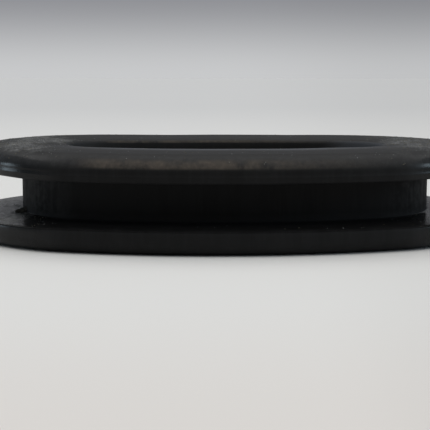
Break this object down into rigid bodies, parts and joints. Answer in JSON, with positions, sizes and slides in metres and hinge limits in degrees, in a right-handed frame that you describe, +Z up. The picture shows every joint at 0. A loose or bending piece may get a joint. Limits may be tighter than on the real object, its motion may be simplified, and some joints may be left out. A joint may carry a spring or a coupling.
{
  "type": "rubber grommet",
  "caption": "Flat oval rubber grommet: a sleeve with a flange at each end and a panel groove between them, round an oval cable hole.",
  "frame": {"origin": "middle of the lower flange's bottom face, on the axis of the hole", "axes": "+X along the grommet's length, +Y across its width, +Z up through the hole, from the wider flange to the narrower one"},
  "size_m": [0.0442, 0.0282, 0.0075],
  "materials": {
    "black_rubber": "matt moulded black rubber with a faint sheen, a dusty bloom and a few specks of dust"
  },
  "bodies": {
    "root": {"grommet": "black_rubber"}
  },
  "joints": []
}
